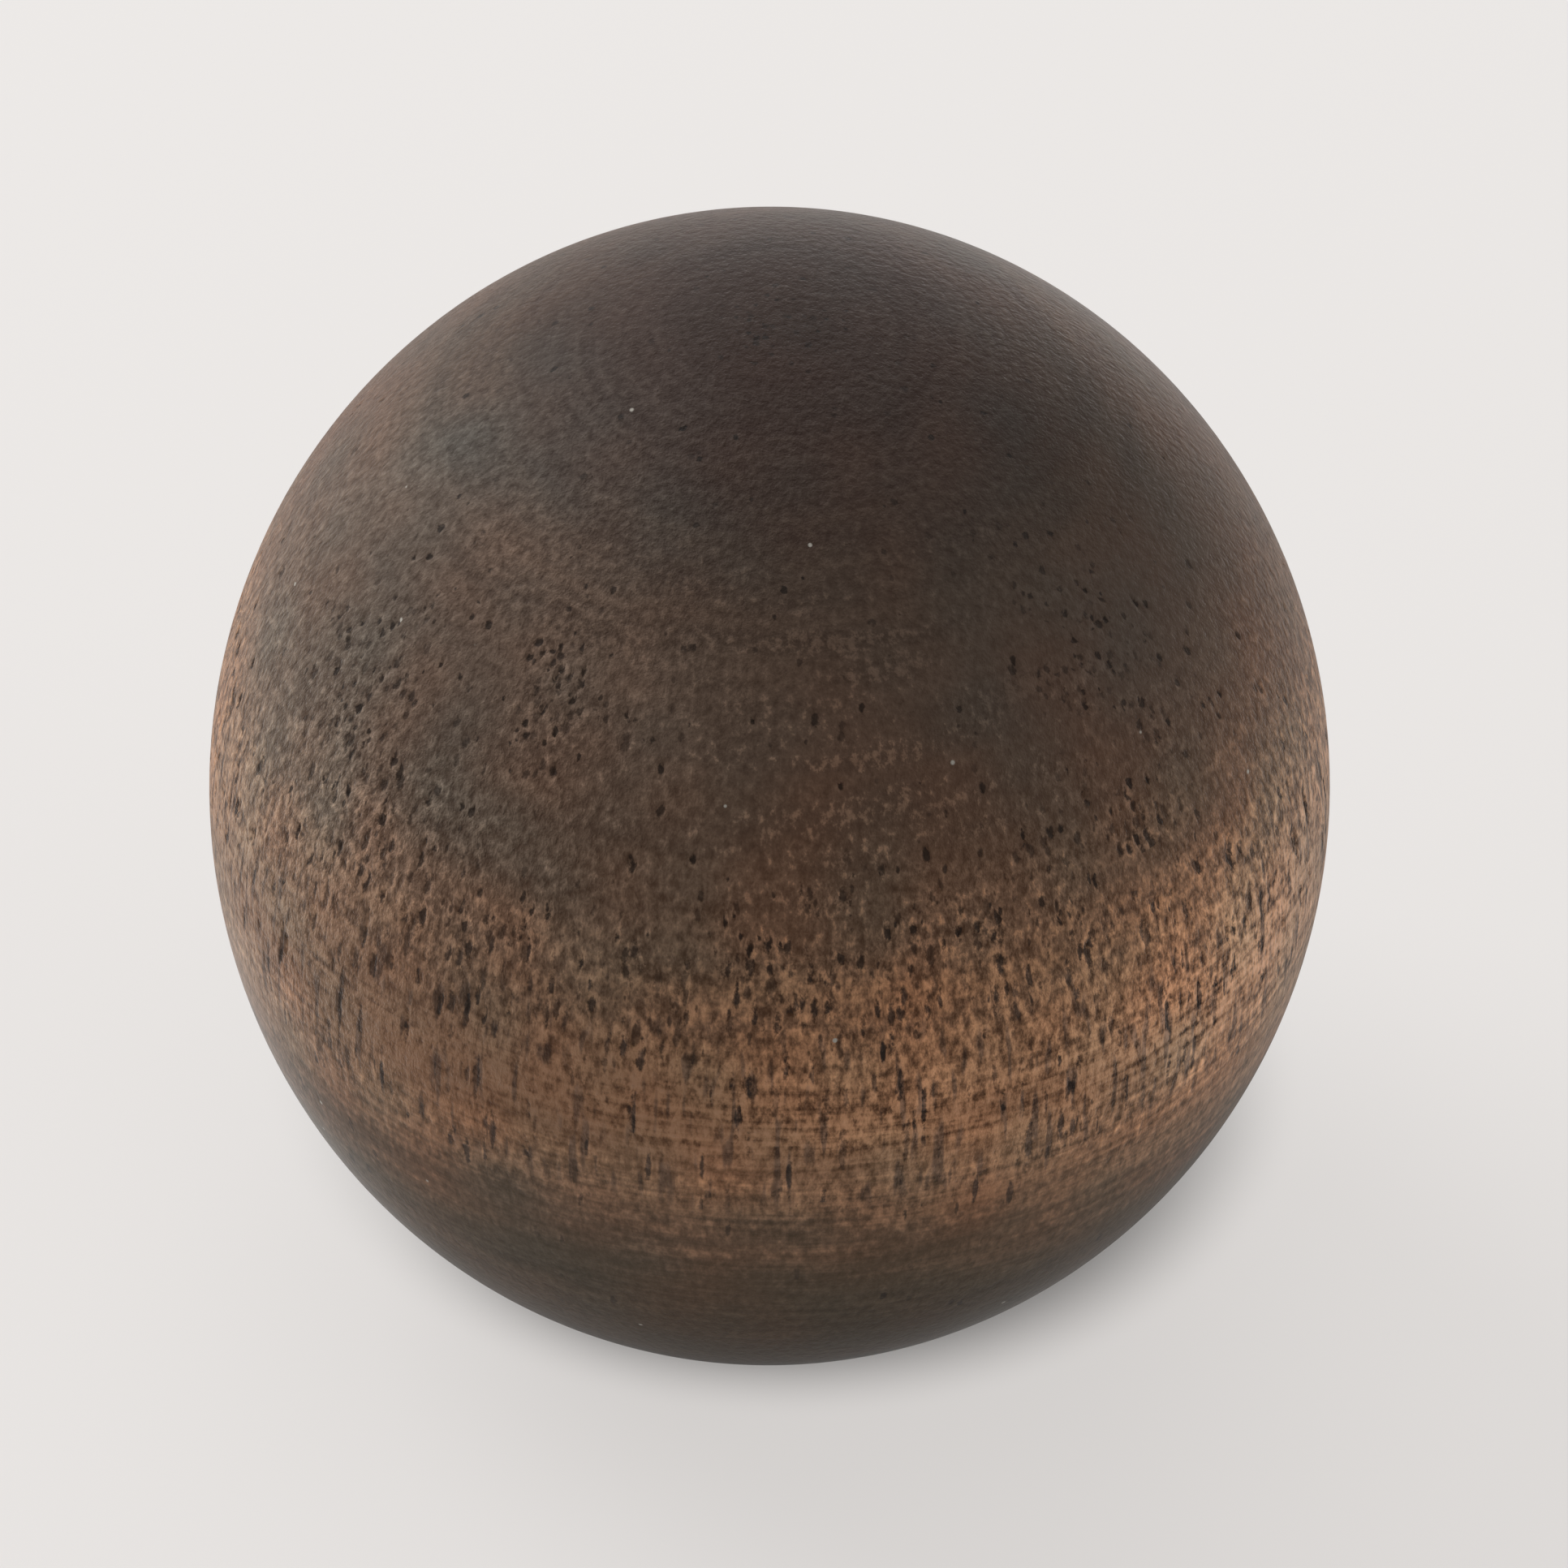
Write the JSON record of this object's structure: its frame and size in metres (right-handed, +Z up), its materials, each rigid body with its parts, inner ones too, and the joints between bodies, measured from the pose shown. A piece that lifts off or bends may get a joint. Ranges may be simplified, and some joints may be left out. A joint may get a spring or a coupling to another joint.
{
  "type": "ball finial",
  "caption": "Turned wooden ball finial, slightly taller than a true ball, with a flat foot and a blind bore for a glued dowel.",
  "frame": {"origin": "middle of the foot's flat, on the turning axis", "axes": "+Z up the turning axis, from the foot to the crown; X and Y are free, because the piece is turned"},
  "size_m": [0.05, 0.05, 0.05],
  "materials": {
    "stained_wood": "dark brown stain, matte, paler warm band round the belly"
  },
  "bodies": {
    "root": {"finial": "stained_wood"}
  },
  "joints": []
}
